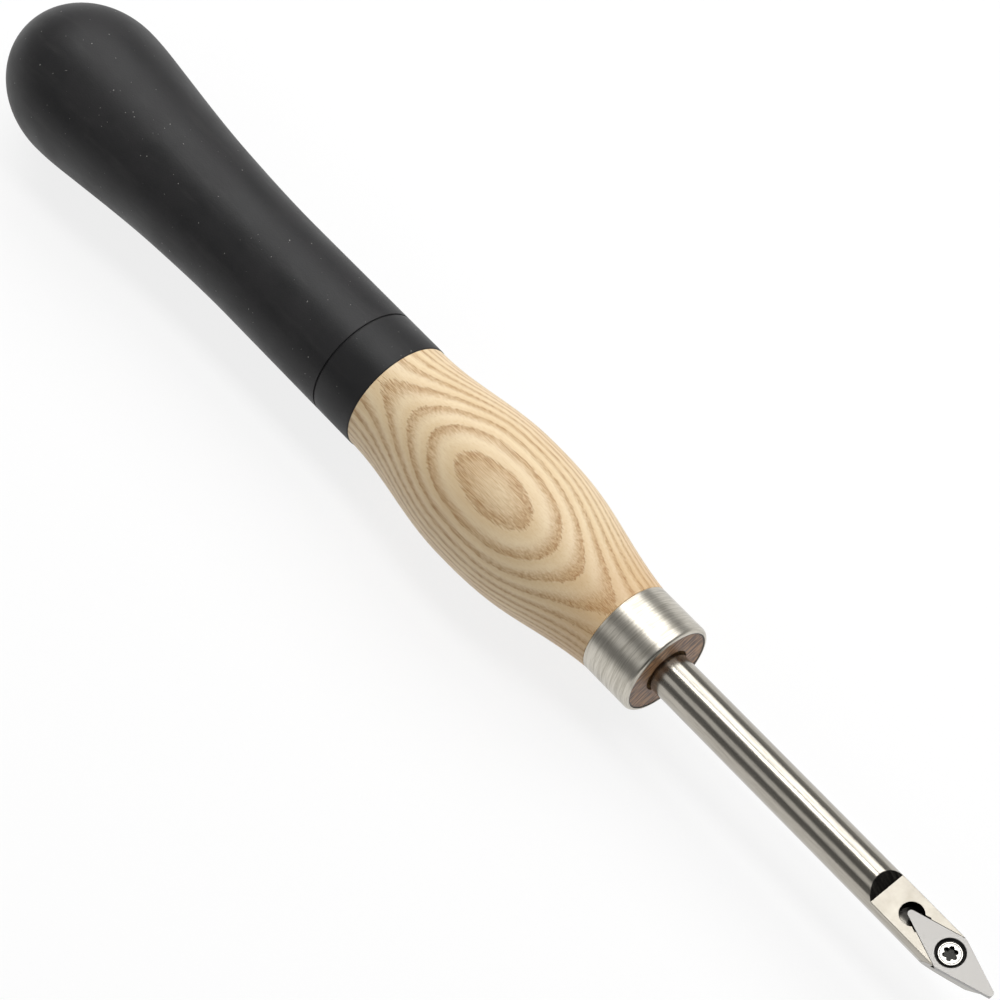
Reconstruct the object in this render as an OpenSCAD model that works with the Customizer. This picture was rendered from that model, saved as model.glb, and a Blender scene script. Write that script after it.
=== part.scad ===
// Hand-held turning tool: a round steel bar with a replaceable carbide cutter, in a wooden handle
// with a moulded rubber grip. X runs along the tool's axis towards the cutter, +Z leaves the
// cutter's top face, and the origin is on the axis at the shoulder where the full bar starts,
// just ahead of the ferrule's front face.

/* [Handle] */
// Length of bare wood between the rubber and the ferrule
wood_len = 76; // [60:1:95]
// Diameter of the handle's neck at the rubber
neck_d = 28.5; // [27:0.5:32]
// Largest diameter of the wooden belly
belly_d = 35; // [32:0.5:40]
// Distance from the ferrule's rear edge back to the widest part of the belly
belly_at = 40.4; // [30:0.5:48]
// Bare wood that stays level at the widest part of the belly
belly_flat = 2; // [0:0.5:4]
// Step by which the rubber stands above the wood where they meet
rubber_step = 0.15; // [0:0.05:0.5]

/* [Grip] */
// Straight length of the rubber grip behind the wood
neck_len = 44.4; // [36:1:60]
// Length over which the grip swells into the palm
swell_len = 68; // [50:1:80]
// Largest diameter of the palm swell
palm_d = 38; // [34:0.5:44]
// Length of the rounded butt behind the palm swell
dome_len = 22.5; // [16:0.5:28]
// Thickness of the moulded rubber over the wooden core
rubber_t = 3; // [2:0.25:5]
// Distance from the rubber's front edge to the ring groove
ring_at = 11.9; // [6:0.1:16]
// Width of the ring groove
ring_w = 0.5; // [0.4:0.05:1.5]
// Depth of the ring groove
ring_depth = 0.45; // [0.2:0.05:0.8]
// Radius on the rubber's front edge
lip_r = 0.4; // [0.2:0.1:0.8]
// Number of locking grooves round the core, under the rubber
lock_count = 3; // [2:1:4]
// Width of a locking groove
lock_w = 4; // [2:0.5:6]
// Depth of a locking groove
lock_depth = 1; // [0.5:0.1:1.5]
// Spacing of the locking grooves
lock_pitch = 12; // [10:0.5:14]

/* [Ferrule] */
// Outside diameter of the ferrule
ferrule_d = 23.3; // [20:0.1:26]
// Length of the ferrule
ferrule_len = 13.6; // [10:0.2:20]
// Wall of the ferrule, which also rounds its front edge
ferrule_t = 1; // [0.8:0.1:1.5]
// Depth of the wood's end face inside the ferrule
wood_set = 0.15; // [0.05:0.05:0.5]

/* [Bar] */
// Diameter of the steel bar
bar_d = 10; // [9.6:0.1:11]
// Length of bar from its shoulder to the foot of the milled step
shank_len = 66.7; // [50:1:120]
// Distance from the ferrule's face to the bar's shoulder
face_gap = 0.3; // [0.2:0.05:1]
// Diameter of the spigot, the part of the bar inside the handle
spigot_d = 9.5; // [8:0.1:9.5]
// Length of the spigot
spigot_len = 58; // [40:1:65]
// Height of the milled flat above the axis
land_z = 2.2; // [1.8:0.1:2.4]
// Angle of the step that leads up from the flat
step_angle = 48; // [35:1:70]
// Chamfer on the spigot's end
spigot_chamfer = 1; // [0.5:0.1:1.5]
// Bond between the spigot and the wood, at the side
bond_t = 0.75; // [0.3:0.05:1]
// Bond behind the end of the spigot
bond_floor = 1; // [0.5:0.1:2]
// Depth of the bond's front end below the wood's end face
bond_set = 2; // [1:0.1:4]

/* [Nose] */
// Distance from the foot of the step to the centre of the cutter
seat_at = 18.5; // [17:0.5:24]
// Gap between the cutter and the side walls of its pocket
pocket_gap = 0.08; // [0.05:0.01:0.15]
// Radius of the corner relief hole behind the cutter
relief_r = 2.7; // [2.2:0.1:3]
// Distance from the cutter's rear tip to the centre of the relief hole
relief_in = 0.95; // [0.5:0.05:1.5]
// Extra depth of the relief hole below the pocket floor
relief_deep = 0.4; // [0.2:0.1:1]
// Side clearance of the pocket beside the relief hole
mouth_gap = 0.35; // [0.2:0.05:0.5]
// Length of pocket that has the side clearance
mouth_len = 3.3; // [2.8:0.1:5]
// Distance by which the bar's ground faces lie inside the cutter's flanks
nose_inset = 0.1; // [0.05:0.05:0.3]
// Distance from the cutter's front tip back to the bar's nose
nose_setback = 1.9; // [1.5:0.1:3]
// Angle of the nose bevel from upright
nose_angle = 42; // [30:1:55]

/* [Cutter] */
// Length of the diamond cutter from tip to tip
insert_len = 24.2; // [23:0.2:26]
// Width of the diamond cutter
insert_w = 8.9; // [8.4:0.1:8.9]
// Thickness of the diamond cutter
insert_t = 2.4; // [2:0.1:2.8]
// Radius of the two cutting tips
tip_r = 0.8; // [0.7:0.05:1.2]
// Radius of the two side corners
side_r = 1.5; // [1:0.1:2]
// Relief angle of the cutter's flanks
flank_angle = 12; // [7:1:14]
// Diameter of the countersink at the top face
sink_d = 6.6; // [6.4:0.1:7]
// Diameter of the hole below the countersink
hole_d = 3.6; // [3.5:0.1:4]

/* [Screw] */
// Major diameter of the screw
screw_d = 3; // [2.5:0.1:3.2]
// Diameter of the screw's head
head_d = 5.1; // [4.8:0.1:5.3]
// Height of the head's straight rim
head_rim = 0.35; // [0.2:0.05:0.5]
// Clearance between the head's cone and the countersink
head_gap = 0.05; // [0.03:0.01:0.1]
// Radial clearance of the screw in the bar
thread_gap = 0.05; // [0.02:0.01:0.1]
// Distance from the screw's end to the underside of the bar
screw_short = 0.6; // [0.3:0.1:1.5]
// Chamfer on the screw's end
screw_chamfer = 0.4; // [0.2:0.05:0.6]
// Width across the lobes of the six-lobe recess
recess_d = 2.8; // [2.4:0.1:3]
// Depth of the six-lobe recess
recess_depth = 1; // [0.7:0.1:1.1]

/* [Hidden] */
$fn = 96;
eps = 0.01;

// Radii
bar_r = bar_d / 2;
neck_r = neck_d / 2;
belly_r = belly_d / 2;
palm_r = palm_d / 2;
ferrule_r = ferrule_d / 2;
tenon_r = ferrule_r - ferrule_t;
spigot_r = spigot_d / 2;
bore_r = spigot_r + bond_t;
screw_r = screw_d / 2;
head_r = head_d / 2;
sink_r = sink_d / 2;

// Stations along X, from the bar's shoulder backwards
x_face = -face_gap;
x_wood = x_face - wood_set;
x_ferrule = x_face - ferrule_len;
x_belly = x_ferrule - belly_at;
x_rubber = x_ferrule - wood_len;
x_swell = x_rubber - neck_len;
x_palm = x_swell - swell_len;
x_butt = x_palm - dome_len;
x_spigot = -spigot_len;
x_bore = x_spigot - bond_floor;
x_bond = x_wood - bond_set;

// The moulded rubber follows its core with this gap
mould_gap = 0.02;
core_neck_r = neck_r - rubber_t;
core_palm_r = palm_r - rubber_t;
core_dome = dome_len - rubber_t;

// Rise of the belly ahead of its widest part, and of the palm swell: [place, height, slope], each
// from 0 to 1
belly_rise = [[0, 0, 0.7], [0.3, 0.353, 1.5], [0.6, 0.797, 1.15], [1, 1, 0]];
swell_rise = [[0, 0, 0], [0.4, 0.21, 0.85], [0.8, 0.765, 1.6], [1, 1, 0]];
belly_steps = 14;
swell_steps = 18;
dome_steps = 14;

// Cutter and nose
x_seat = shank_len + seat_at;
x_rear_tip = x_seat - insert_len / 2;
x_front_tip = x_seat + insert_len / 2;
x_relief = x_rear_tip + relief_in;
floor_z = land_z - insert_t;
tip_reach = insert_len / 2 - tip_r;
side_reach = insert_w / 2 - side_r;
centre_gap = norm([tip_reach, side_reach]);
edge_angle = atan2(side_reach, tip_reach) + asin((side_r - tip_r) / centre_gap);
edge_dist = tip_reach * sin(edge_angle) + tip_r;
flank_inset = insert_t * tan(flank_angle);
step_run = (bar_r - land_z) / tan(step_angle);
cut = 4 * bar_d;

// Screw
head_sink = sink_r - head_r;
rim_z = land_z - head_sink + head_gap;
head_z = rim_z + head_rim;
cone_h = head_r - screw_r;
screw_end_z = -bar_r + screw_short;
lobe_r = recess_d * 0.14;
lobe_ring = recess_d / 2 - lobe_r;

// Height of a smooth curve at t, through stations that give place, height and slope
function curve_at(stations, t, i = 0) =
    (t <= stations[i + 1][0] || i == len(stations) - 2)
        ? blend(stations[i], stations[i + 1], t)
        : curve_at(stations, t, i + 1);

// Cubic piece between two stations
function blend(a, b, t) =
    let (h = b[0] - a[0], u = (t - a[0]) / h)
    a[1] * (2 * u * u * u - 3 * u * u + 1) + b[1] * (3 * u * u - 2 * u * u * u)
    + h * (a[2] * (u * u * u - 2 * u * u + u) + b[2] * (u * u * u - u * u));

// Outline points [radius, x] of the bare wood, from the ferrule back to the rubber
function belly_outline() = concat(
    [for (i = [0 : belly_steps])
        let (t = i / belly_steps)
        [ferrule_r + (belly_r - ferrule_r) * curve_at(belly_rise, t), x_ferrule - belly_at * t]],
    [for (i = [0 : belly_steps])
        let (t = i / belly_steps, start = x_belly - belly_flat)
        [wood_neck_r() + (belly_r - wood_neck_r()) * (1 + cos(180 * t)) / 2,
         start + (x_rubber - start) * t]]
);

function wood_neck_r() = neck_r - rubber_step;

// Outline points [radius, x] of the grip or of its core, from the neck back to the butt
function grip_outline(neck, palm, dome) = concat(
    [for (i = [0 : swell_steps])
        let (t = i / swell_steps)
        [neck + (palm - neck) * curve_at(swell_rise, t), x_swell - swell_len * t]],
    [for (i = [1 : dome_steps])
        let (a = 90 * i / dome_steps)
        [palm * cos(a), x_palm - dome * sin(a)]]
);

// Turns an outline of [radius, x] points about the tool's axis
module turned(points) {
    rotate([0, 90, 0]) rotate_extrude() polygon(points);
}

// Cylinder along X between two stations
module rod(r, x0, x1) {
    translate([x0, 0, 0]) rotate([0, 90, 0]) cylinder(r = r, h = x1 - x0);
}

// Ring along X between two stations
module ring(r_in, r_out, x0, x1) {
    difference() {
        rod(r_out, x0, x1);
        rod(r_in, x0 - eps, x1 + eps);
    }
}

// Wooden core under the rubber, grown by a gap to give the rubber's hollow
module grip_core(gap) {
    difference() {
        turned(concat(
            [[0, x_rubber + eps], [core_neck_r + gap, x_rubber + eps]],
            grip_outline(core_neck_r + gap, core_palm_r + gap, core_dome + gap)
        ));
        for (i = [0 : lock_count - 1]) {
            x = x_rubber - (i + 0.5) * lock_pitch;
            ring(core_neck_r + gap - lock_depth, core_neck_r + rubber_t,
                 x - lock_w / 2 + gap, x + lock_w / 2 - gap);
        }
    }
}

// Moulded rubber over the rear of the handle, with a closed round butt
module rubber_grip() {
    color("#2c2c2e")
    difference() {
        turned(concat(
            [[0, x_rubber], [neck_r - lip_r, x_rubber]],
            [for (a = [15 : 15 : 90])
                [neck_r - lip_r + lip_r * sin(a), x_rubber - lip_r + lip_r * cos(a)]],
            grip_outline(neck_r, palm_r, dome_len)
        ));
        grip_core(mould_gap);
        ring(neck_r - ring_depth, neck_r + 1, x_rubber - ring_at - ring_w / 2,
             x_rubber - ring_at + ring_w / 2);
    }
}

// Turned wooden handle: ferrule tenon, belly and the core under the rubber, bored for the bar
module wood_handle() {
    color("#e6cf9f")
    difference() {
        union() {
            turned(concat(
                [[0, x_wood], [tenon_r, x_wood], [tenon_r, x_ferrule]],
                belly_outline(),
                [[0, x_rubber]]
            ));
            grip_core(0);
        }
        rod(bore_r, x_bore, 0);
    }
}

// Steel ferrule over the tenon, with its front edge rounded right over
module ferrule() {
    color("#b9babb")
    rotate([0, 90, 0])
    rotate_extrude()
    difference() {
        union() {
            translate([tenon_r, x_ferrule]) square([ferrule_t, ferrule_len - ferrule_t]);
            translate([tenon_r, x_face - ferrule_t]) circle(r = ferrule_t);
        }
        translate([0, x_ferrule - eps]) square([tenon_r, ferrule_len + 1]);
    }
}

// Cured bond that fills the bore round and behind the spigot
module bar_bond() {
    color("#c9b27a")
    difference() {
        rod(bore_r, x_bore, x_bond);
        plain_bar();
    }
}

// Plain bar, turned down to the spigot behind its shoulder
module plain_bar() {
    turned([
        [0, x_spigot],
        [spigot_r - spigot_chamfer, x_spigot],
        [spigot_r, x_spigot + spigot_chamfer],
        [spigot_r, 0],
        [bar_r, 0],
        [bar_r, x_front_tip + 1],
        [0, x_front_tip + 1]
    ]);
}

// V of the pocket seen from above, from the relief hole forwards, with a side gap
module pocket_v(gap, x_end) {
    apex = x_seat - (edge_dist + gap) / sin(edge_angle);
    polygon([
        [x_relief, -(x_relief - apex) * tan(edge_angle)],
        [x_end, -(x_end - apex) * tan(edge_angle)],
        [x_end, (x_end - apex) * tan(edge_angle)],
        [x_relief, (x_relief - apex) * tan(edge_angle)]
    ]);
}

// Everything outside one ground face of the nose, which follows the cutter's flank
module flank_cut(side) {
    translate([x_seat, 0, land_z])
        rotate([0, 0, side * (90 - edge_angle)])
            translate([edge_dist - nose_inset, 0, 0])
                rotate([0, flank_angle, 0])
                    translate([0, -cut / 2, -cut / 2]) cube(cut);
}

// Steel bar with its milled step and flat, the cutter's pocket and the ground nose
module tool_bar() {
    color("#a9a8a6")
    difference() {
        plain_bar();
        // Milled flat with a sloped step
        rotate([90, 0, 0])
            linear_extrude(height = cut, center = true)
                polygon([
                    [shank_len, land_z],
                    [shank_len - 2 * step_run, land_z + 2 * (bar_r - land_z)],
                    [x_front_tip + cut, land_z + 2 * (bar_r - land_z)],
                    [x_front_tip + cut, land_z]
                ]);
        // Pocket for the cutter, wider beside the relief hole
        translate([0, 0, floor_z]) linear_extrude(height = cut) {
            pocket_v(pocket_gap, x_front_tip + 2);
            pocket_v(mouth_gap, x_relief + mouth_len);
        }
        translate([x_relief, 0, floor_z - relief_deep]) cylinder(r = relief_r, h = cut);
        // Ground nose: two flanks and a bevel under the tip
        flank_cut(1);
        flank_cut(-1);
        translate([x_front_tip - nose_setback, 0, floor_z])
            rotate([0, nose_angle, 0])
                translate([0, -cut / 2, -cut / 2]) cube(cut);
        // Hole for the screw
        translate([x_seat, 0, -cut / 2]) cylinder(r = screw_r + thread_gap, h = cut);
    }
}

// One rounded corner of the cutter, narrower below for the relief
module insert_corner(x, y, r) {
    translate([x, y, 0]) cylinder(r1 = max(r - flank_inset, 0.05), r2 = r, h = insert_t, $fn = 32);
}

// Diamond carbide cutter with relieved flanks and a countersunk hole
module carbide_insert() {
    color("#c4c3c4")
    translate([x_seat, 0, floor_z])
    difference() {
        hull() {
            insert_corner(tip_reach, 0, tip_r);
            insert_corner(-tip_reach, 0, tip_r);
            insert_corner(0, side_reach, side_r);
            insert_corner(0, -side_reach, side_r);
        }
        translate([0, 0, -1]) cylinder(r = hole_d / 2, h = insert_t + 2);
        translate([0, 0, insert_t - sink_r]) cylinder(r1 = 0, r2 = sink_r + 1, h = sink_r + 1);
    }
}

// Countersunk screw with a six-lobe recess
module insert_screw() {
    color("#d8d4cf")
    translate([x_seat, 0, 0])
    difference() {
        rotate_extrude()
            polygon([
                [0, screw_end_z],
                [screw_r - screw_chamfer, screw_end_z],
                [screw_r, screw_end_z + screw_chamfer],
                [screw_r, rim_z - cone_h],
                [head_r, rim_z],
                [head_r, head_z],
                [0, head_z]
            ]);
        translate([0, 0, head_z - recess_depth]) linear_extrude(height = recess_depth + 1) {
            circle(r = lobe_ring);
            for (i = [0 : 5]) {
                rotate(60 * i) translate([lobe_ring, 0]) circle(r = lobe_r);
            }
        }
    }
}

rubber_grip();
wood_handle();
ferrule();
bar_bond();
tool_bar();
carbide_insert();
insert_screw();
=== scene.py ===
import math
import bmesh
import bpy
from mathutils import Matrix, Vector


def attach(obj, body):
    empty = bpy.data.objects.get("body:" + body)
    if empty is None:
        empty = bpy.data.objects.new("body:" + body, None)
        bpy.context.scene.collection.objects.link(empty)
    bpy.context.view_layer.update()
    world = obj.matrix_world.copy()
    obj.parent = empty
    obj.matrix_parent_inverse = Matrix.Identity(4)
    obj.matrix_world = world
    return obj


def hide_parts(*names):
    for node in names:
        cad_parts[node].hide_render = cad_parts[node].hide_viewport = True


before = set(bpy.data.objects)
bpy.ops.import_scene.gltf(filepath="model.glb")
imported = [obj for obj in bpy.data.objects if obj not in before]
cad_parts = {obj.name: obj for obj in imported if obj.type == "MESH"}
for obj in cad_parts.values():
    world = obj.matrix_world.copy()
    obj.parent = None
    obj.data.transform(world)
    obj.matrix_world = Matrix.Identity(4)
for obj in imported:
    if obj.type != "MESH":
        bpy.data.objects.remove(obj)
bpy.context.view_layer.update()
print("frame loaded:", ", ".join(sorted(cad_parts)))

mm = 0.001  # sizes below are in millimetres, as on the drawing, and meshes are in metres

# stations along the tool's axis, from the bar's shoulder; +X runs to the cutter
station = {
    "face": -0.3,
    "woodEnd": -0.45,
    "ferruleRear": -13.9,
    "belly": -54.3,
    "rubberFront": -89.9,
    "swellStart": -134.3,
    "palm": -202.3,
    "spigotEnd": -58.0,
    "boreEnd": -59.0,
    "bondFront": -2.45,
    "stepFoot": 66.7,
    "relief": 74.05,
    "seat": 85.2,
    "tip": 97.3,
}


def curveAt(stations, t):
    # smooth rise through stations of place, height and slope
    for a, b in zip(stations, stations[1:]):
        if t <= b[0] or b is stations[-1]:
            h = b[0] - a[0]
            u = (t - a[0]) / h
            return (a[1] * (2 * u**3 - 3 * u**2 + 1) + b[1] * (3 * u**2 - 2 * u**3)
                    + h * (a[2] * (u**3 - 2 * u**2 + u) + b[2] * (u**3 - u**2)))


def steps(count, first=0):
    return [i / count for i in range(first, count + 1)]


def arc(x, r, radius, start, end, count=6):
    # outline points [x, r] round a centre, angles in degrees from +X towards larger radius
    angles = [math.radians(start + (end - start) * t) for t in steps(count)]
    return [(x + radius * math.cos(a), r + radius * math.sin(a)) for a in angles]


class Wire:
    # one output socket, so that maths between sockets reads as plain sums
    def __init__(self, tree, socket):
        self.tree = tree
        self.socket = socket

    def calc(self, operation, *values):
        return addNode(self.tree, "ShaderNodeMath", {"operation": operation}, dict(enumerate(values)))

    def __add__(self, other):
        return self.calc("ADD", self, other)

    def __radd__(self, other):
        return self.calc("ADD", other, self)

    def __sub__(self, other):
        return self.calc("SUBTRACT", self, other)

    def __rsub__(self, other):
        return self.calc("SUBTRACT", other, self)

    def __mul__(self, other):
        return self.calc("MULTIPLY", self, other)

    def __rmul__(self, other):
        return self.calc("MULTIPLY", other, self)

    def __truediv__(self, other):
        return self.calc("DIVIDE", self, other)

    def root(self):
        return self.calc("SQRT", self)

    def size(self):
        return self.calc("ABSOLUTE", self)

    def part(self):
        return self.calc("FRACT", self)

    def ramp(self, low, high):
        # 0 below low, 1 above high, eased between
        return addNode(self.tree, "ShaderNodeMapRange", {"interpolation_type": "SMOOTHSTEP"},
                       {"Value": self, "From Min": low, "From Max": high})


def addNode(tree, kind, settings=None, inputs=None, out=0):
    node = tree.nodes.new(kind)
    for name, value in (settings or {}).items():
        setattr(node, name, value)
    for key, value in (inputs or {}).items():
        if isinstance(value, Wire):
            tree.links.new(value.socket, node.inputs[key])
        else:
            node.inputs[key].default_value = value
    return Wire(tree, node.outputs[out])


def shade(red, green, blue):
    # a screen colour, 0 to 255, as the linear colour that the nodes take
    def linear(value):
        value = value / 255
        return value / 12.92 if value <= 0.04045 else ((value + 0.055) / 1.055) ** 2.4
    return (linear(red), linear(green), linear(blue), 1.0)


class Finish:
    # a material on its way: plain values go on the shader, wires feed what changes over the surface
    def __init__(self, name, **plain):
        self.material = bpy.data.materials.new(name)
        self.material.use_nodes = True
        self.tree = self.material.node_tree
        self.shader = self.tree.nodes["Principled BSDF"]
        for key, value in plain.items():
            self.shader.inputs[key.replace("_", " ")].default_value = value
        coords = addNode(self.tree, "ShaderNodeTexCoord", out="Object")
        self.place = self.scaled(coords, (1 / mm, 1 / mm, 1 / mm))
        split = addNode(self.tree, "ShaderNodeSeparateXYZ", {}, {0: self.place})
        outlets = split.socket.node.outputs
        self.x, self.y, self.z = (Wire(self.tree, outlets[i]) for i in range(3))

    def scaled(self, vector, factors):
        return addNode(self.tree, "ShaderNodeVectorMath", {"operation": "MULTIPLY"}, {0: vector, 1: factors})

    def shifted(self, vector, offset):
        return addNode(self.tree, "ShaderNodeVectorMath", {"operation": "ADD"}, {0: vector, 1: offset})

    def vector(self, x, y, z):
        return addNode(self.tree, "ShaderNodeCombineXYZ", {}, {0: x, 1: y, 2: z})

    def noise(self, perMm, detail=3.0, rough=0.5, shift=(0, 0, 0), vector=None):
        # noise with so many features a millimetre along X, Y and Z
        place = self.shifted(self.scaled(vector or self.place, perMm), shift)
        return addNode(self.tree, "ShaderNodeTexNoise", {},
                       {"Vector": place, "Scale": 1.0, "Detail": detail, "Roughness": rough})

    def mix(self, factor, first, second):
        node = self.tree.nodes.new("ShaderNodeMix")
        node.data_type = "RGBA"
        for index, value in ((0, factor), (6, first), (7, second)):
            if isinstance(value, Wire):
                self.tree.links.new(value.socket, node.inputs[index])
            else:
                node.inputs[index].default_value = value
        return Wire(self.tree, node.outputs[2])

    def feed(self, **wires):
        for key, wire in wires.items():
            self.tree.links.new(wire.socket, self.shader.inputs[key.replace("_", " ")])

    def bump(self, height, distance):
        # a height from 0 to 1 stands up by a distance in metres
        self.feed(Normal=addNode(self.tree, "ShaderNodeBump", {}, {"Height": height, "Distance": distance}))


def newTree(name, sizes):
    # an empty Geometry Nodes tree: named inputs with their socket types, one geometry out
    tree = bpy.data.node_groups.new(name, "GeometryNodeTree")
    face = tree.interface
    face.new_socket("Geometry", in_out="INPUT", socket_type="NodeSocketGeometry")
    for label, kind in sizes.items():
        face.new_socket(label, in_out="INPUT", socket_type="NodeSocket" + kind)
    face.new_socket("Geometry", in_out="OUTPUT", socket_type="NodeSocketGeometry")
    inlet = tree.nodes.new("NodeGroupInput")
    outlet = tree.nodes.new("NodeGroupOutput")
    return tree, {s.name: Wire(tree, s) for s in inlet.outputs if s.name}, outlet


def closeTree(tree, outlet, shape, finish, smoothUnder=0.5):
    # smooth under an angle in radians, then the finish, then the output
    angle = addNode(tree, "GeometryNodeInputMeshEdgeAngle")
    soft = addNode(tree, "FunctionNodeCompare", {"data_type": "FLOAT", "operation": "LESS_THAN"},
                   {0: angle, 1: smoothUnder})
    shape = addNode(tree, "GeometryNodeSetShadeSmooth", {"domain": "FACE"}, {0: shape, 2: True})
    shape = addNode(tree, "GeometryNodeSetShadeSmooth", {"domain": "EDGE"}, {0: shape, 2: soft})
    shape = addNode(tree, "GeometryNodeRealizeInstances", {}, {0: shape})
    shape = addNode(tree, "GeometryNodeSetMaterial", {}, {0: shape, "Material": finish})
    tree.links.new(shape.socket, outlet.inputs[0])


def lathe():
    # turns the object's own outline about the X axis; the outline is edges at (radius, -x, 0)
    tree, size, outlet = newTree("lathe", {"Sides": "Int", "Path radius": "Float", "Finish": "Material"})
    outline = addNode(tree, "GeometryNodeMeshToCurve", {}, {0: size["Geometry"]})
    path = addNode(tree, "GeometryNodeCurvePrimitiveCircle", {},
                   {"Resolution": size["Sides"], "Radius": size["Path radius"]})
    swept = addNode(tree, "GeometryNodeCurveToMesh", {}, {"Curve": path, "Profile Curve": outline})
    swept = addNode(tree, "GeometryNodeTransform", {}, {0: swept, "Rotation": (0, math.pi / 2, 0)})
    swept = addNode(tree, "GeometryNodeMergeByDistance", {}, {0: swept, "Distance": 1e-6})
    closeTree(tree, outlet, swept, size["Finish"])
    return tree


def withTree(obj, tree, values):
    # runs a tree on an object and gives the result as a plain mesh object of the same name
    modifier = obj.modifiers.new("form", "NODES")
    modifier.node_group = tree
    for item in tree.interface.items_tree:
        if item.in_out == "INPUT" and item.name in values:
            modifier[item.identifier] = values[item.name]
    return asPlainMesh(obj)


def asPlainMesh(obj):
    depsgraph = bpy.context.evaluated_depsgraph_get()
    mesh = bpy.data.meshes.new_from_object(obj.evaluated_get(depsgraph), depsgraph=depsgraph)
    obj.modifiers.clear()
    obj.data = mesh
    mesh.name = obj.name
    return obj


def newObject(name, mesh):
    obj = bpy.data.objects.new(name, mesh)
    bpy.context.scene.collection.objects.link(obj)
    return obj


latheTree = lathe()


def turned(name, outline, finish, sides=192, closed=False):
    # a turned piece from outline points [x, r] in millimetres
    pathRadius = 0.5 * mm
    points = [(r * mm - pathRadius, -x * mm, 0) for x, r in outline]
    edges = [(i, i + 1) for i in range(len(points) - 1)]
    if closed:
        edges.append((len(points) - 1, 0))
    mesh = bpy.data.meshes.new(name)
    mesh.from_pydata(points, edges, [])
    obj = withTree(newObject(name, mesh), latheTree,
                   {"Sides": sides, "Path radius": pathRadius, "Finish": finish})
    return outward(obj)


def outward(obj):
    # turns the faces of a closed mesh outwards
    mesh = bmesh.new()
    mesh.from_mesh(obj.data)
    if mesh.calc_volume(signed=True) < 0:
        bmesh.ops.reverse_faces(mesh, faces=mesh.faces)
    mesh.to_mesh(obj.data)
    mesh.free()
    return obj


# camera: a long lens over the right front of the tool, as in the photograph
view = {
    "place": (0.2483, -0.2263, 0.6572),
    "right": (0.6440, 0.7640, -0.0340),
    "up": (-0.6520, 0.5710, 0.4980),
    "lens": 126.0,
}


def makeCamera():
    lens = bpy.data.cameras.new("camera")
    lens.lens = view["lens"]
    lens.clip_start = 0.01
    camera = newObject("camera", lens)
    right = Vector(view["right"]).normalized()
    up = Vector(view["up"])
    up = (up - right * up.dot(right)).normalized()
    turn = Matrix((right, up, right.cross(up))).transposed()
    camera.matrix_world = Matrix.Translation(view["place"]) @ turn.to_4x4()
    bpy.context.scene.camera = camera


makeCamera()
print("camera set")


# rubber grip
grip = {
    "neck": 14.25,
    "palm": 19.0,
    "swell": 68.0,
    "dome": 22.5,
    "wall": 3.0,
    "gap": 0.02,
    "rise": [(0, 0, 0), (0.4, 0.21, 0.85), (0.8, 0.765, 1.6), (1, 1, 0)],
    "lip": 0.4,
    "ringAt": 11.9,
    "ringWidth": 0.5,
    "ringDepth": 0.45,
    "ringEdge": 0.07,
    "lockCount": 3,
    "lockWidth": 4.0,
    "lockDepth": 1.0,
    "lockPitch": 12.0,
}


def gripCurve(neck, palm, dome, gap=0.0):
    # outline from the neck's rear end back to the butt's pole
    swell = [(station["swellStart"] - grip["swell"] * t, neck + gap + (palm - neck) * curveAt(grip["rise"], t))
             for t in steps(64)]
    quarter = math.pi / 2
    butt = [(station["palm"] - (dome + gap) * math.sin(t * quarter), (palm + gap) * math.cos(t * quarter))
            for t in steps(40, 1)]
    return swell + butt


def coreCurve(gap):
    # outline of the core under the rubber, with its locking grooves
    front = station["rubberFront"]
    radius = grip["neck"] - grip["wall"] + gap
    points = [(front, radius)]
    for i in range(grip["lockCount"]):
        middle = front - (i + 0.5) * grip["lockPitch"]
        half = grip["lockWidth"] / 2 - gap
        low = radius - grip["lockDepth"]
        points += [(middle + half, radius), (middle + half, low), (middle - half, low), (middle - half, radius)]
    wall = grip["wall"]
    return points + gripCurve(grip["neck"] - wall, grip["palm"] - wall, grip["dome"] - wall, gap)


def makeGrip(finish):
    front = station["rubberFront"]
    neck = grip["neck"]
    lip = grip["lip"]
    edge = grip["ringEdge"]
    half = grip["ringWidth"] / 2
    middle = front - grip["ringAt"]
    bottom = neck - grip["ringDepth"]
    skin = arc(front - lip, neck - lip, lip, 0, 90, 8)
    skin += arc(middle + half + edge, neck - edge, edge, 90, 180, 5)
    skin += arc(middle, bottom + half, half, 0, -180, 10)
    skin += arc(middle - half - edge, neck - edge, edge, 0, 90, 5)
    skin += gripCurve(neck, grip["palm"], grip["dome"])
    hollow = coreCurve(grip["gap"])
    piece = turned("rubberGrip", hollow[::-1] + skin, finish)
    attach(piece, "root")
    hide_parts("rubber_grip")


# wooden handle
wood = {
    "neck": 14.1,
    "belly": 17.5,
    "rise": [(0, 0, 0.7), (0.3, 0.353, 1.5), (0.6, 0.797, 1.15), (1, 1, 0)],
    "shoulder": 11.65,
    "tenon": 10.65,
    "flat": 2.0,
    "edge": 0.12,
    "bore": 5.5,
}


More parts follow.
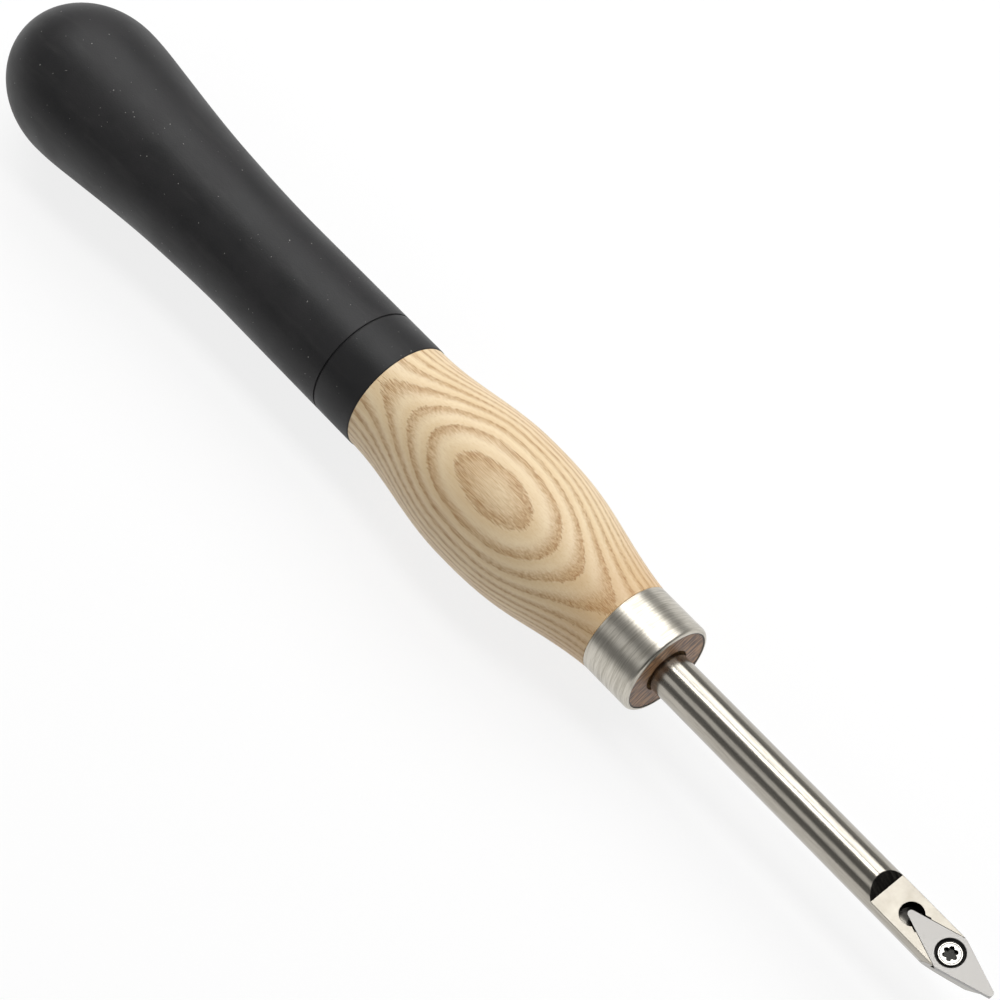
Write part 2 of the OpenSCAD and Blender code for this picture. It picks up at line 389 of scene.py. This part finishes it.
def makeWood(finish):
    edge = wood["edge"]
    end = station["woodEnd"]
    rear = station["ferruleRear"]
    belly = station["belly"]
    rubber = station["rubberFront"]
    outline = [(station["boreEnd"], 0), (station["boreEnd"], wood["bore"]), (end - edge, wood["bore"]),
               (end, wood["bore"] + edge), (end, wood["tenon"] - edge), (end - edge, wood["tenon"]),
               (rear, wood["tenon"]), (rear, wood["shoulder"] - edge)]
    rise = wood["belly"] - wood["shoulder"]
    front = [(rear - (rear - belly) * t, wood["shoulder"] + rise * curveAt(wood["rise"], t)) for t in steps(56)]
    front[0] = (rear - edge, front[0][1])
    fall = wood["belly"] - wood["neck"]
    start = belly - wood["flat"]
    back = [(start + (rubber - start) * t, wood["neck"] + fall * (1 + math.cos(math.pi * t)) / 2)
            for t in steps(48)]
    piece = turned("ashHandle", outline + front + back + coreCurve(0.0), finish)
    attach(piece, "root")
    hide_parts("wood_handle")


# ferrule
ferrule = {
    "radius": 11.65,
    "wall": 1.0,
    "edge": 0.12,
}


def makeFerrule(finish):
    wall = ferrule["wall"]
    edge = ferrule["edge"]
    radius = ferrule["radius"]
    rear = station["ferruleRear"]
    outline = [(rear, radius - wall), (rear, radius - edge), (rear + edge, radius)]
    outline += arc(station["face"] - wall, radius - wall, wall, 90, 0, 16)
    piece = turned("turnedFerrule", outline, finish, closed=True)
    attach(piece, "root")
    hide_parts("ferrule")


# cured bond round the bar's spigot
bond = {
    "outer": 5.5,
    "inner": 4.75,
    "dip": 0.25,
}


def makeBond(finish):
    front = station["bondFront"]
    end = station["spigotEnd"]
    middle = (bond["outer"] + bond["inner"]) / 2
    half = (bond["outer"] - bond["inner"]) / 2
    outline = [(station["boreEnd"], 0), (station["boreEnd"], bond["outer"])]
    outline += [(front - bond["dip"] * math.sin(t * math.pi), middle + half * (1 - 2 * t)) for t in steps(8)]
    outline += [(end + bar["chamfer"], bond["inner"]), (end, bond["inner"] - bar["chamfer"]), (end, 0)]
    piece = turned("bondFill", outline, finish, sides=96)
    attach(piece, "root")
    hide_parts("bar_bond")


# steel bar with its milled flat, the cutter's pocket and the ground nose
bar = {
    "radius": 5.0,
    "spigot": 4.75,
    "chamfer": 1.0,
    "edge": 0.12,
    "land": 2.2,
    "stepAngle": 48.0,
    "floor": -0.2,
    "reliefRadius": 2.7,
    "reliefDeep": 0.4,
    "pocketGap": 0.08,
    "mouthGap": 0.35,
    "mouthLength": 3.3,
    "noseInset": 0.1,
    "noseSetback": 1.9,
    "noseAngle": 42.0,
    "screwHole": 1.55,
    "break": 0.07,
}

# diamond cutter
cutter = {
    "length": 24.2,
    "width": 8.9,
    "thick": 2.4,
    "tip": 0.8,
    "side": 1.5,
    "flank": 12.0,
    "sink": 3.3,
    "hole": 1.8,
    "break": 0.04,
}
tipReach = cutter["length"] / 2 - cutter["tip"]
sideReach = cutter["width"] / 2 - cutter["side"]
edgeAngle = (math.atan2(sideReach, tipReach)
             + math.asin((cutter["side"] - cutter["tip"]) / math.hypot(tipReach, sideReach)))
edgeDistance = tipReach * math.sin(edgeAngle) + cutter["tip"]


def between(name, base, top):
    # closed block from one outline of corners to another with as many
    count = len(base)
    faces = [tuple(range(count)), tuple(range(2 * count - 1, count - 1, -1))]
    faces += [(i, (i + 1) % count, (i + 1) % count + count, i + count) for i in range(count)]
    mesh = bpy.data.meshes.new(name)
    mesh.from_pydata(base + top, [], faces)
    solid = bmesh.new()
    solid.from_mesh(mesh)
    bmesh.ops.recalc_face_normals(solid, faces=solid.faces)
    solid.to_mesh(mesh)
    solid.free()
    return outward(newObject(name, mesh))


def prism(name, points, low, high, along="Z"):
    # closed prism over a flat outline, drawn in XY and raised along Z, or drawn in XZ along Y
    def at(a, b, level):
        return (a * mm, b * mm, level * mm) if along == "Z" else (a * mm, level * mm, b * mm)
    return between(name, [at(a, b, low) for a, b in points], [at(a, b, high) for a, b in points])


def circle(x, y, radius, count=96):
    return [(x + radius * math.cos(2 * math.pi * i / count), y + radius * math.sin(2 * math.pi * i / count))
            for i in range(count)]


def beyond(name, point, normal, size=60.0):
    # block that holds everything past a plane, near its point
    out = Vector(normal).normalized()
    side = out.cross(Vector((0, 0, 1)) if abs(out.z) < 0.9 else Vector((0, 1, 0))).normalized()
    up = out.cross(side)
    block = prism(name, [(0, -size), (size, -size), (size, size), (0, size)], -size, size)
    turn = Matrix((out, side, up)).transposed().to_4x4()
    block.data.transform(Matrix.Translation(Vector(point) * mm) @ turn)
    return outward(block)


def combine(obj, others, operation="DIFFERENCE"):
    for other in others:
        cut = obj.modifiers.new("cut", "BOOLEAN")
        cut.operation = operation
        cut.solver = "EXACT"
        cut.object = other
    asPlainMesh(obj)
    for other in others:
        bpy.data.objects.remove(other)
    return obj


def cleaned(obj, flatness=0.2):
    # merges doubles and the splits that the cuts leave in flat faces
    mesh = bmesh.new()
    mesh.from_mesh(obj.data)
    bmesh.ops.remove_doubles(mesh, verts=mesh.verts, dist=2e-6)
    bmesh.ops.dissolve_limit(mesh, angle_limit=math.radians(flatness), verts=mesh.verts, edges=mesh.edges)
    mesh.to_mesh(obj.data)
    mesh.free()
    return obj


def broken(obj, width, fromAngle=25.0, parts=2):
    # breaks the sharp edges and keeps the flats flat
    bevel = obj.modifiers.new("edges", "BEVEL")
    bevel.width = width * mm
    bevel.segments = parts
    bevel.limit_method = "ANGLE"
    bevel.angle_limit = math.radians(fromAngle)
    bevel.use_clamp_overlap = False
    bevel.miter_outer = "MITER_ARC"
    asPlainMesh(obj)
    obj.data.shade_smooth()
    obj.data.set_sharp_from_angle(angle=math.radians(40))
    weighted = obj.modifiers.new("normals", "WEIGHTED_NORMAL")
    weighted.keep_sharp = True
    return asPlainMesh(obj)


def pocketOutline(gap, end):
    # V of the pocket seen from above, from the relief hole forwards
    apex = station["seat"] - (edgeDistance + gap) / math.sin(edgeAngle)
    rise = math.tan(edgeAngle)
    near = (station["relief"] - apex) * rise
    far = (end - apex) * rise
    return [(station["relief"], -near), (end, -far), (end, far), (station["relief"], near)]


def makeBar(finish):
    radius = bar["radius"]
    land = bar["land"]
    edge = bar["edge"]
    spigot = bar["spigot"]
    end = station["spigotEnd"]
    outline = [(end, 0), (end, spigot - bar["chamfer"]), (end + bar["chamfer"], spigot), (0, spigot),
               (0, radius - edge), (edge, radius), (station["tip"] + 1, radius), (station["tip"] + 1, 0)]
    piece = turned("turningBar", outline, finish)
    run = (radius - land) / math.tan(math.radians(bar["stepAngle"]))
    foot = station["stepFoot"]
    far = station["tip"] + 20
    flat = [(foot, land), (far, land), (far, 3 * radius), (foot - 2 * run, 3 * radius),
            (foot - 2 * run, land + 2 * (radius - land))]
    lean = math.radians(cutter["flank"])
    cuts = [prism("flat", flat, -20, 20, along="Y")]
    cuts.append(prism("pocket", pocketOutline(bar["pocketGap"], station["tip"] + 2), bar["floor"], 20))
    mouthEnd = station["relief"] + bar["mouthLength"]
    cuts.append(prism("mouth", pocketOutline(bar["mouthGap"], mouthEnd), bar["floor"], 20))
    cuts.append(prism("relief", circle(station["relief"], 0, bar["reliefRadius"]),
                      bar["floor"] - bar["reliefDeep"], 20))
    cuts.append(prism("hole", circle(station["seat"], 0, bar["screwHole"], 64), -20, 20))
    for side in (1, -1):
        turn = side * (math.pi / 2 - edgeAngle)
        out = Vector((math.cos(turn), math.sin(turn), 0))
        reach = edgeDistance - bar["noseInset"]
        point = Vector((station["seat"], 0, land)) + out * reach
        cuts.append(beyond("flank", point, out * math.cos(lean) - Vector((0, 0, math.sin(lean)))))
    nose = math.radians(bar["noseAngle"])
    cuts.append(beyond("nose", (station["tip"] - bar["noseSetback"], 0, bar["floor"]),
                       (math.cos(nose), 0, -math.sin(nose))))
    combine(piece, cuts)
    broken(cleaned(piece), bar["break"])
    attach(piece, "root")
    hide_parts("tool_bar")


def diamond(inset, level, parts=14):
    # outline of the cutter at a level, drawn in by an inset
    toEdge = math.pi / 2 - edgeAngle
    corners = [(tipReach, 0, cutter["tip"], -toEdge, toEdge),
               (0, sideReach, cutter["side"], toEdge, math.pi - toEdge),
               (-tipReach, 0, cutter["tip"], math.pi - toEdge, math.pi + toEdge),
               (0, -sideReach, cutter["side"], math.pi + toEdge, 2 * math.pi - toEdge)]
    points = []
    for x, y, radius, start, end in corners:
        for t in steps(parts):
            a = start + (end - start) * t
            points.append(((station["seat"] + x + (radius - inset) * math.cos(a)) * mm,
                           (y + (radius - inset) * math.sin(a)) * mm, level * mm))
    return points


def makeCutter(finish):
    low = bar["floor"]
    high = low + cutter["thick"]
    inset = cutter["thick"] * math.tan(math.radians(cutter["flank"]))
    piece = between("carbideCutter", diamond(inset, low), diamond(0, high))
    piece.data.materials.append(finish)
    throat = cutter["sink"] - cutter["hole"]
    drill = turned("drill", [(low - 1, 0), (low - 1, cutter["hole"]), (high - throat, cutter["hole"]),
                             (high + 1, cutter["sink"] + 1), (high + 1, 0)], finish, sides=96)
    drill.data.transform(upright(station["seat"]))
    combine(piece, [drill])
    broken(cleaned(piece), cutter["break"])
    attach(piece, "insert")
    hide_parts("carbide_insert")


def upright(x):
    # stands a turned piece up: its X becomes Z at a place along the tool
    return Matrix.Translation((x * mm, 0, 0)) @ Matrix.Rotation(-math.pi / 2, 4, "Y")


# cutter's screw
screw = {
    "major": 1.5,
    "minor": 1.22,
    "pitch": 0.5,
    "end": -4.4,
    "chamfer": 0.3,
    "threadTop": -0.25,
    "crest": 0.03,
    "root": 0.22,
    "headRadius": 2.55,
    "rim": 1.5,
    "top": 1.85,
    "round": 0.12,
    "lobes": 6,
    "lobeReach": 1.68,
    "lobeNotch": 0.46,
    "recessDepth": 1.0,
    "recessPoints": 96,
    "threadSink": 0.03,
    "threadSteps": 48,
    "break": 0.04,
}


def windTree():
    # winds the object's own outline into a ridge about the Z axis, upwards from the origin
    tree, size, outlet = newTree("wind", {"Turns": "Float", "Path radius": "Float", "Rise": "Float",
                                          "Steps a turn": "Int", "Finish": "Material"})
    outline = addNode(tree, "GeometryNodeMeshToCurve", {}, {0: size["Geometry"]})
    path = addNode(tree, "GeometryNodeCurveSpiral", {},
                   {"Resolution": size["Steps a turn"], "Rotations": size["Turns"],
                    "Start Radius": size["Path radius"], "End Radius": size["Path radius"],
                    "Height": size["Rise"]})
    path = addNode(tree, "GeometryNodeSetCurveNormal", {"mode": "Z_UP"}, {0: path})
    ridge = addNode(tree, "GeometryNodeCurveToMesh", {},
                    {"Curve": path, "Profile Curve": outline, "Fill Caps": True})
    closeTree(tree, outlet, ridge, size["Finish"])
    return tree


def makeThread(finish):
    low = screw["end"] + screw["chamfer"]
    rise = screw["threadTop"] - low
    middle = (screw["major"] + screw["minor"]) / 2
    # on the winding path the outline's X points to the axis
    inner = middle - screw["minor"] + screw["threadSink"]
    outer = middle - screw["major"]
    root = screw["root"]
    crest = screw["crest"]
    points = [(inner, -root), (outer, -crest), (outer, crest), (inner, root)]
    mesh = bpy.data.meshes.new("screwThread")
    mesh.from_pydata([(x * mm, y * mm, 0) for x, y in points], [(0, 1), (1, 2), (2, 3), (3, 0)], [])
    piece = withTree(newObject("screwThread", mesh), windTree(),
                     {"Turns": rise / screw["pitch"], "Path radius": middle * mm, "Rise": rise * mm,
                      "Steps a turn": screw["threadSteps"], "Finish": finish})
    piece.data.transform(Matrix.Translation((station["seat"] * mm, 0, low * mm)))
    outward(piece)
    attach(piece, "screw")
    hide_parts("insert_screw")


def makeScrew(finish):
    head = screw["headRadius"]
    major = screw["major"]
    minor = screw["minor"]
    rim = screw["rim"]
    top = screw["top"]
    soft = screw["round"]
    under = rim - (head - major)
    neck = screw["threadTop"]
    outline = [(screw["end"], 0), (screw["end"], minor - screw["chamfer"]),
               (screw["end"] + screw["chamfer"], minor), (neck, minor), (neck + major - minor, major),
               (under, major), (rim, head)]
    outline += arc(top - soft, head - soft, soft, 90, 0, 6)
    outline += [(top, 0)]
    piece = turned("lobeScrew", outline, finish, sides=96)
    piece.data.transform(upright(station["seat"]))
    star = []
    for i in range(screw["recessPoints"]):
        a = 2 * math.pi * i / screw["recessPoints"]
        reach = screw["lobeReach"] - screw["lobeNotch"] * math.sin(screw["lobes"] * a / 2)**4
        star.append((station["seat"] + reach * math.cos(a), reach * math.sin(a)))
    combine(piece, [prism("recess", star, top - screw["recessDepth"], 20)])
    broken(cleaned(piece), screw["break"])
    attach(piece, "screw")
    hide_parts("insert_screw")


# ash: growth rings about a pith line under the handle, which leans a little against the tool's axis
ash = {
    "pith": (8.77, -28.69),
    "lean": 0.035,
    "leanFrom": -54.0,
    "ringFrom": 47.0,
    "ringPitch": 1.34,
    "cream": shade(235, 216, 181),
    "late": shade(219, 192, 149),
    "early": shade(182, 134, 74),
    "pore": shade(134, 90, 44),
    "endGrain": shade(166, 124, 86),
    "endLine": shade(92, 62, 38),
    "grain": (-0.2924, 0.9563),
    # painted shade: a dark ring at the end face's rim, where the end sits back inside the ferrule
    "lip": shade(52, 40, 30),
}


def ashFinish():
    f = Finish("ash", Roughness=0.42)
    py, pz = ash["pith"]
    wobble = f.noise((0.02, 0.06, 0.06), 2.0) - 0.5
    fibre = f.noise((0.25, 4.0, 4.0), 3.0, 0.65) - 0.5
    y = f.y - py
    z = f.z - pz
    radius = (y * y + z * z).root() + (f.x - ash["leanFrom"]) * ash["lean"] + wobble * 0.8 + fibre * 0.6
    ring = ((radius - ash["ringFrom"]) / ash["ringPitch"]).part()
    early = (1 - ring.ramp(0.05, 0.7)) * ring.ramp(0.0, 0.04)
    dashes = f.noise((0.35, 6.0, 6.0), 3.0, 0.65, shift=(7, 3, 1)).ramp(0.4, 0.62)
    patch = f.noise((0.04, 0.09, 0.09), 3.0, 0.6, shift=(5, 1, 8)).ramp(0.3, 0.7)
    tone = f.mix(ring.ramp(0.5, 1.0) * 0.7, ash["cream"], ash["late"])
    tone = f.mix(early * (0.35 + dashes * 0.45 + patch * 0.2), tone, ash["early"])
    tone = f.mix(early * dashes * 0.5, tone, ash["pore"])
    streak = f.noise((0.06, 3.0, 3.0), 4.0, 0.65, shift=(2, 9, 4)).ramp(0.35, 0.75)
    tone = f.mix(streak * 0.4, tone, ash["late"])
    fleck = f.noise((0.5, 8.0, 8.0), 3.0, 0.7, shift=(4, 4, 2)).ramp(0.5, 0.7)
    tone = f.mix(fleck * 0.32, tone, ash["early"])
    nearFerrule = f.x.ramp(-34.0, -15.0)
    tone = f.mix(nearFerrule * 0.3 + patch * 0.1, tone, ash["early"])
    across, up = ash["grain"]
    level = f.y * across + f.z * up
    along = f.y * up - f.z * across
    endLines = f.noise((1, 0.2, 1.5), 3.0, 0.6, vector=f.vector(0, along, level)).ramp(0.42, 0.58)
    endTone = f.mix(endLines, ash["endGrain"], ash["endLine"])
    # painted shade: a dark ring at the end face's rim, where the end sits back inside the ferrule
    endTone = f.mix((f.y * f.y + f.z * f.z).root().ramp(10.1, 10.5), endTone, ash["lip"])
    tone = f.mix(f.x.ramp(-1.2, -0.9), tone, endTone)
    f.feed(Base_Color=tone)
    f.bump(0 - early * dashes, 0.00003)
    return f.material


rubber = {
    "dark": shade(29, 29, 30),
    "soft": shade(36, 35, 36),
    "smear": shade(50, 49, 49),
    "band": shade(22, 22, 23),
    "dust": shade(168, 166, 162),
}


def rubberFinish():
    # moulded rubber, a little cloudy and dusty, darker on the front band
    f = Finish("rubber", Specular_IOR_Level=0.32)
    cloud = f.noise((0.09, 0.09, 0.09), 4.0, 0.6).ramp(0.3, 0.7)
    smear = f.noise((0.05, 0.3, 0.3), 3.0, 0.6, shift=(3, 3, 6)).ramp(0.5, 0.8)
    tone = f.mix(cloud, rubber["dark"], rubber["soft"])
    tone = f.mix(smear * 0.5, tone, rubber["smear"])
    edge = station["rubberFront"] - grip["ringAt"]
    band = f.x.ramp(edge - 0.1, edge + 0.1)
    tone = f.mix(band * 0.6, tone, rubber["band"])
    dust = f.noise((1.4, 1.4, 1.4), 1.0, 0.4, shift=(9, 2, 5)).ramp(0.775, 0.8)
    tone = f.mix(dust * 0.5, tone, rubber["dust"])
    f.feed(Base_Color=tone, Roughness=0.44 + cloud * 0.1)
    f.bump(f.noise((2.5, 2.5, 2.5), 3.0), 0.00002)
    return f.material


metals = {
    "ring": shade(208, 203, 192),
    "ringLine": shade(142, 136, 123),
    "steel": shade(178, 173, 163),
    # tone of the drawn lines and the land's mottle, and also painted shade along the ground flanks under the
    # cutter
    "drabAndShade": shade(120, 114, 103),
    # painted dark reflection on the bar's step face and painted shade in its relief hole
    "paintedDark": shade(26, 25, 25),
    "carbide": shade(141, 139, 136),
    # painted shade down the cutter's countersink
    "sink": shade(22, 22, 22),
    "plating": shade(216, 213, 206),
    # painted shade in the screw's recess
    "recess": shade(14, 14, 14),
    # a fine dark ring inside the screw head's rim
    "darkRimRing": shade(60, 58, 56),
}


def ferruleFinish():
    # brushed round the ring, so the fine lines run across the axis
    f = Finish("brushedFerrule", Metallic=1.0)
    lines = f.noise((2.6, 0.12, 0.12), 4.0, 0.75)
    cloud = f.noise((0.3, 0.12, 0.12), 2.0)
    tone = f.mix(lines.ramp(0.38, 0.66) * 0.55 + cloud * 0.1, metals["ring"], metals["ringLine"])
    f.feed(Base_Color=tone, Roughness=0.24 + lines * 0.14)
    f.bump(lines, 0.00003)
    return f.material


def barFinish():
    # drawn steel, with the mill's lines on the step's face; the step's face is painted dark as a painted dark
    # reflection, and painted shade lies in the relief hole and along the ground flanks under the cutter
    steel = metals["steel"]
    drabAndShade = metals["drabAndShade"]
    paintedDark = metals["paintedDark"]
    f = Finish("drawnBar", Metallic=1.0)
    drawn = f.noise((0.15, 2.4, 2.4), 4.0, 0.7)
    foot = station["stepFoot"]
    onLand = (1 - (f.z - bar["land"]).size().ramp(0.02, 0.08)) * f.x.ramp(foot, foot + 0.1)
    f.feed(Roughness=0.14 + drawn * 0.1 + onLand * 0.16)
    f.bump(drawn * (1 - onLand), 0.000008)
    worn = f.noise((0.25, 0.25, 0.25), 3.0, 0.6, shift=(6, 2, 2))
    tone = f.mix(drawn.ramp(0.4, 0.7) * (1 - onLand) * 0.35 + onLand * worn * 0.75, steel, drabAndShade)
    lean = math.radians(cutter["flank"])
    out = (math.sin(edgeAngle) * math.cos(lean), math.cos(edgeAngle) * math.cos(lean))
    reach = (edgeDistance - bar["noseInset"]) * math.cos(lean)
    ground = (f.x - station["seat"]) * out[0] + f.y.size() * out[1]
    ground = ground - (f.z - bar["land"]) * math.sin(lean) - reach
    # painted shade: a dark band on the ground flanks just under the cutter's edges
    flankShade = (1 - ground.size().ramp(0.02, 0.08)) * (1 - onLand)
    tone = f.mix(flankShade * 0.85, tone, drabAndShade)
    # painted dark reflection: the step's face is painted near black, with the mill's lines through it
    slope = math.radians(bar["stepAngle"])
    rise = (f.z - bar["land"]) - (foot - f.x) * math.tan(slope)
    onStep = (1 - (rise * math.cos(slope)).size().ramp(0.02, 0.08)) * f.z.ramp(bar["land"], bar["land"] + 0.1)
    milled = f.noise((0.1, 4.0, 0.1), 3.0, 0.6, shift=(1, 4, 2)).ramp(0.4, 0.65)
    tone = f.mix(onStep * (0.8 - milled * 0.5), tone, paintedDark)
    # painted shade in the relief hole, darker towards +Y
    x = f.x - station["relief"]
    inHole = 1 - (x * x + f.y * f.y).root().ramp(bar["reliefRadius"], bar["reliefRadius"] + 0.1)
    below = 1 - f.z.ramp(bar["land"] - 0.3, bar["land"] - 0.1)
    tone = f.mix(inHole * below * (0.35 + f.y.ramp(-1.9, -0.6) * 0.6), tone, paintedDark)
    f.feed(Base_Color=tone)
    return f.material


def fromScrew(f):
    # distance from the screw's axis
    x = f.x - station["seat"]
    return (x * x + f.y * f.y).root()


def carbideFinish():
    # ground carbide, with painted shade down the countersink
    f = Finish("carbide", Metallic=0.9)
    grains = f.noise((5, 5, 5), 3.0, 0.6)
    # painted shade down the countersink
    sink = 1 - fromScrew(f).ramp(cutter["sink"] - 0.12, cutter["sink"] + 0.02)
    tone = f.mix(sink * 0.92, metals["carbide"], metals["sink"])
    f.feed(Base_Color=tone, Roughness=0.26 + grains * 0.16)
    return f.material


def platingFinish():
    # bright plating, with painted shade in the recess and a fine dark ring inside the rim
    f = Finish("plating", Metallic=1.0)
    radius = fromScrew(f)
    top = screw["top"]
    wide = screw["lobeReach"]
    floor = top - screw["recessDepth"]
    # painted shade in the recess
    recess = (1 - radius.ramp(wide, wide + 0.05)) * (1 - f.z.ramp(top - 0.1, top - 0.03))
    recess = recess * f.z.ramp(floor - 0.25, floor - 0.15)
    # a fine dark ring inside the rim
    line = radius.ramp(2.1, 2.18) * (1 - radius.ramp(2.26, 2.34))
    tone = f.mix(recess * 0.96, metals["plating"], metals["recess"])
    turnedLines = f.noise((3, 3, 3), 2.0)
    f.feed(Base_Color=f.mix(line * 0.85, tone, metals["darkRimRing"]), Roughness=0.14 + turnedLines * 0.08)
    return f.material


def resinAndGapShadeFinish():
    f = Finish("resinAndGapShade", Roughness=0.3)
    # dark resin colour, kept dark as painted shade in the gap round the bar
    f.feed(Base_Color=f.mix(f.noise((0.8, 0.8, 0.8), 2.0), shade(34, 28, 23), shade(52, 43, 35)))
    return f.material


finishes = {
    "rubber": rubberFinish(),
    "ash": ashFinish(),
    "ferrule": ferruleFinish(),
    "bar": barFinish(),
    "carbide": carbideFinish(),
    "screw": platingFinish(),
    "bond": resinAndGapShadeFinish(),
}
print("finishes made")

makeGrip(finishes["rubber"])
makeWood(finishes["ash"])
makeFerrule(finishes["ferrule"])
makeBond(finishes["bond"])
print("turned pieces made")
makeBar(finishes["bar"])
makeCutter(finishes["carbide"])
makeScrew(finishes["screw"])
makeThread(finishes["screw"])
print("bar, cutter and screw made")


# floor, lamps and world
studio = {
    "floorDrop": -0.0191,
    "floorSize": 8.0,
    "floorColour": (0.93, 0.93, 0.93, 1),
    "floorWhite": 0.82,
    "overhead": 0.14,
    "horizonNear": 0.2,
    "horizonFar": 0.36,
    "darkEnd": 0.85,
}
lamps = {
    # place on the arc over the tool: degrees from straight up towards +Y, then distance, size and glow
    "keyWide": {"over": 40.0, "away": 1.0, "along": -0.3, "size": (2.0, 0.56), "glow": 2.1},
    "keyStrip": {"over": 12.0, "away": 1.0, "along": -0.3, "size": (2.0, 0.2), "glow": 4.5},
    "fill": {"over": -44.0, "away": 1.2, "along": -0.3, "size": (2.0, 0.5), "glow": 0.5},
}


def makeStudio():
    half = studio["floorSize"]
    drop = studio["floorDrop"]
    mesh = bpy.data.meshes.new("floor")
    mesh.from_pydata([(-half, -half, drop), (half, -half, drop), (half, half, drop), (-half, half, drop)],
                     [], [(0, 1, 2, 3)])
    floor = newObject("floor", mesh)
    f = Finish("floorPaper", Roughness=0.9, Base_Color=studio["floorColour"])
    camera = addNode(f.tree, "ShaderNodeLightPath", out="Is Camera Ray")
    kinds = camera.socket.node.outputs
    seen = camera + Wire(f.tree, kinds["Is Glossy Ray"]) + Wire(f.tree, kinds["Is Transmission Ray"])
    white = addNode(f.tree, "ShaderNodeEmission")
    paper = addNode(f.tree, "ShaderNodeMixShader", {}, {0: seen * studio["floorWhite"], 2: white})
    f.tree.links.new(f.shader.outputs[0], paper.socket.node.inputs[1])
    f.tree.links.new(paper.socket, f.tree.nodes["Material Output"].inputs["Surface"])
    mesh.materials.append(f.material)
    for name, lamp in lamps.items():
        light = bpy.data.lights.new(name, "AREA")
        light.shape = "RECTANGLE"
        light.size, light.size_y = lamp["size"]
        light.energy = 4 * light.size * light.size_y * lamp["glow"]
        obj = newObject(name, light)
        over = math.radians(lamp["over"])
        toward = Vector((0, math.sin(over), math.cos(over)))
        turn = Matrix((Vector((1, 0, 0)), toward.cross(Vector((1, 0, 0))), toward)).transposed()
        place = toward * lamp["away"] + Vector((lamp["along"], 0, 0))
        obj.matrix_world = Matrix.Translation(place) @ turn.to_4x4()
    world = bpy.data.worlds.new("room")
    bpy.context.scene.world = world
    world.use_nodes = True
    tree = world.node_tree
    coords = addNode(tree, "ShaderNodeTexCoord", out="Generated")
    split = addNode(tree, "ShaderNodeSeparateXYZ", {}, {0: coords})
    x, y, z = (Wire(tree, outlet) for outlet in split.socket.node.outputs)
    sky = tree.nodes["Background"]
    overhead = studio["overhead"]
    horizon = studio["horizonNear"] + y.ramp(-0.3, 0.9) * (studio["horizonFar"] - studio["horizonNear"])
    level = overhead + (1 - z.ramp(0.1, 0.5)) * (horizon - overhead)
    level = level * (1 - x.ramp(0.45, 0.9) * studio["darkEnd"])
    tree.links.new(level.socket, sky.inputs["Strength"])
    sky.inputs["Color"].default_value = (1, 1, 1, 1)
    scene = bpy.context.scene
    scene.view_settings.view_transform = "Standard"


makeStudio()
print("studio made")
